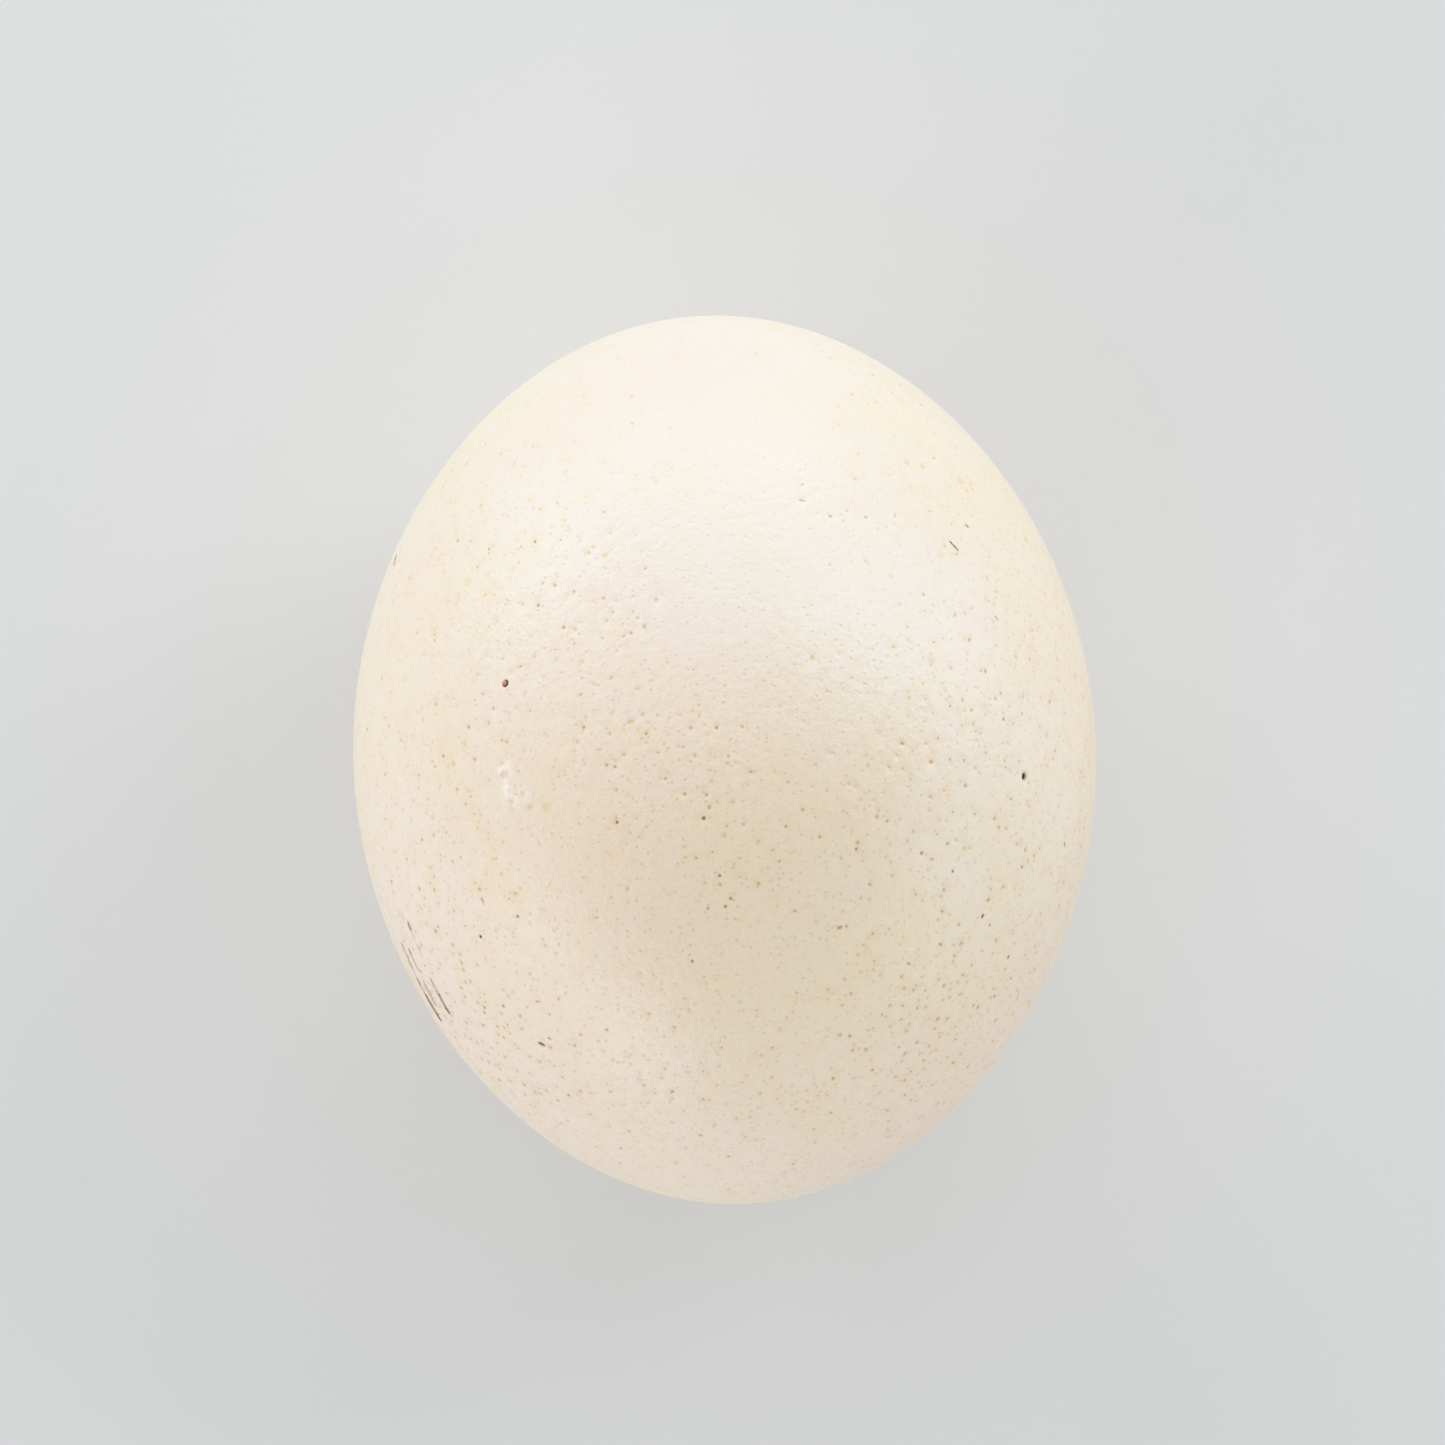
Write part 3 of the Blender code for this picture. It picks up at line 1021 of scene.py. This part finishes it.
def speckled(tree, colour, flecks, pebbles, grain, dot):
    """The same with yellow flecks and tan dots, most of them finer than a pore."""
    speckling = kept_at_corners(tree, "speckling")
    for share, tint in (
        (remapped(tree, flecks, *FLECK_SHARE), YELLOW_STAIN),
        (remapped(tree, pebbles, *PEBBLE_SHARE), YELLOW_STAIN),
        (remapped(tree, grain, *GRAIN_SHARE), (*TAN, 1)),
        (times(tree, dot, DOT_SHARE), (*TAN, 1)),
    ):
        colour = mixed(tree, times(tree, share, speckling), colour, tint)
    return colour


def soiled(tree, colour, dirt, chalk_and_glint, pencil):
    """The same with all that is on it: blotches, dirt with a yellow halo, chalk white with painted highlight
    on the scar's rims, and pencil.
    """
    warmth = times(tree, kept_at_corners(tree, "warmth"), WARM_STAIN_SHARE)
    amount = dirt.outputs["Alpha"]
    halo = remapped(tree, amount, *DIRT_HALO)
    core = lay(tree, "Math", {0: amount, 1: DIRT_SHARPNESS}, operation="POWER").outputs[0]
    colour = mixed(tree, warmth, colour, WARM_STAIN)
    colour = mixed(tree, halo, colour, YELLOW_STAIN)
    colour = mixed(tree, core, colour, dirt.outputs["Color"])
    # chalk white and painted highlight on the scar's rims
    colour = mixed(tree, chalk_and_glint, colour, CHALK_AND_GLINT_WHITE)
    return mixed(tree, pencil, colour, SMUDGE)


def shell_glaze():
    glaze = bpy.data.materials.new("eggshell_glaze")
    glaze.use_nodes = True
    tree = glaze.node_tree
    shader = tree.nodes["Principled BSDF"]
    position = lay(tree, "TexCoord", {}).outputs["Object"]

    clouds = noise(tree, position, *CLOUDS)
    flecks = noise(tree, position, *FLECKS)
    pebbles = noise(tree, position, *PEBBLES)
    grain = noise(tree, position, *GRAINS)
    dots = lay(tree, "TexVoronoi", {"Vector": position, "Scale": DOTS_TO_THE_METRE}).outputs["Distance"]
    dot = remapped(tree, dots, *DOT_EDGE, "SMOOTHSTEP")
    dirt = lay(tree, "Attribute", {}, attribute_name="dirt")
    chalk_and_glint = kept_at_corners(tree, "chalk_and_glint")

    colour = speckled(tree, cream(tree, clouds), flecks, pebbles, grain, dot)
    colour = soiled(tree, colour, dirt, chalk_and_glint, pencil_mask(tree, position))
    tree.links.new(colour, shader.inputs["Base Color"])

    polish = remapped(tree, flecks, *POLISH)
    roughness = remapped(tree, dirt.outputs["Alpha"], 0.0, 1.0, polish, SOILED_ROUGHNESS)
    roughness = remapped(tree, chalk_and_glint, 0.0, 1.0, roughness, CHALK_AND_GLINT_ROUGHNESS)
    tree.links.new(roughness, shader.inputs["Roughness"])
    shader.inputs["IOR"].default_value = GLAZE_IOR

    relief = lay(tree, "Math", {0: pebbles, 1: PEBBLE_RELIEF, 2: grain}, operation="MULTIPLY_ADD").outputs[0]
    relief = lay(tree, "Math", {0: dot, 1: DOT_RELIEF, 2: relief}, operation="MULTIPLY_ADD").outputs[0]
    bump = lay(tree, "Bump", {"Height": relief, "Strength": 1.0, "Distance": RELIEF_HEIGHT})
    tree.links.new(bump.outputs[0], shader.inputs["Normal"])
    return glaze


shell_mesh.materials.append(shell_glaze())


# The floor
# A plain pale studio floor, wide enough that no view reaches its edge.

FLOOR_REACH = 6.0
PALE_GREY = (0.77, 0.79, 0.80, 1)
FLOOR_ROUGHNESS = 0.9

floor_mesh = bpy.data.meshes.new("floor")
floor_net = bmesh.new()
bmesh.ops.create_grid(floor_net, x_segments=1, y_segments=1, size=FLOOR_REACH)
floor_net.to_mesh(floor_mesh)
floor_net.free()
floor = bpy.data.objects.new("floor", floor_mesh)
bpy.context.scene.collection.objects.link(floor)
paper = bpy.data.materials.new("pale_floor")
paper.use_nodes = True
paper_shader = paper.node_tree.nodes["Principled BSDF"]
paper_shader.inputs["Base Color"].default_value = PALE_GREY
paper_shader.inputs["Roughness"].default_value = FLOOR_ROUGHNESS
floor_mesh.materials.append(paper)


# The light
# Round softboxes stand about the egg at one distance, turned to its middle, in an evenly lit white room.

SOFTBOX_WIDTH = 1.0
SOFTBOX_DISTANCE = 2.3
ROOM_LIGHT = 0.605
SOFTBOXES = {  # turn from the egg's right side and height angle, both in degrees, then watts
    "right": (15, 13, 5.8),
    "upper_right": (36, 36, 6.3),
    "top_right": (75, 13, 10.8),
    "top_left": (105, 13, 8.9),
    "upper_left": (135, 13, 10.6),
    "left": (210, 13, 6.5),
    "lower_left": (240, 13, 7.6),
    "lower_right": (330, 13, 2.3),
}

egg_middle = Vector((0, 0, AXIS_HEIGHT))
for name, (turn, height_angle, watts) in SOFTBOXES.items():
    light = bpy.data.lights.new(name + "_softbox", "AREA")
    light.shape = "DISK"
    light.size = SOFTBOX_WIDTH
    light.energy = watts
    softbox = bpy.data.objects.new(light.name, light)
    turn = math.radians(turn)
    rise = math.radians(height_angle)
    way = Vector((math.cos(rise) * math.cos(turn), math.cos(rise) * math.sin(turn), math.sin(rise)))
    softbox.location = egg_middle + way * SOFTBOX_DISTANCE
    softbox.rotation_euler = way.to_track_quat("Z", "Y").to_euler()
    softbox.visible_camera = False
    bpy.context.scene.collection.objects.link(softbox)

studio = bpy.data.worlds.new("studio")
studio.use_nodes = True
room = studio.node_tree.nodes["Background"]
room.inputs["Color"].default_value = (1, 1, 1, 1)
room.inputs["Strength"].default_value = ROOM_LIGHT
bpy.context.scene.world = studio


# The camera's response
# Like a real camera, it records pale things in proportion up to a knee and eases off above it, so that
# the brightest shell stays just short of white.

KNEE = 0.80
BRIGHTEST = 2.0
CURVE_STOPS = (KNEE, 0.85, 0.90, 0.95, 1.0, 1.05, 1.1, 1.2, 1.4)
ALL_COLOURS = 3  # the number of the curve that acts on red, green and blue alike

view = bpy.context.scene.view_settings
view.view_transform = "Standard"
view.use_curve_mapping = True
response = view.curve_mapping
response.white_level = (BRIGHTEST, BRIGHTEST, BRIGHTEST)
curve = response.curves[ALL_COLOURS]
curve.points[0].location = (0, 0)
curve.points[1].location = (1, 1)
for brightness in CURVE_STOPS:
    recorded = 1 - (1 - KNEE) * math.exp(-(brightness - KNEE) / (1 - KNEE))
    curve.points.new(brightness / BRIGHTEST, recorded)
for point in curve.points:
    point.handle_type = "VECTOR"
response.update()
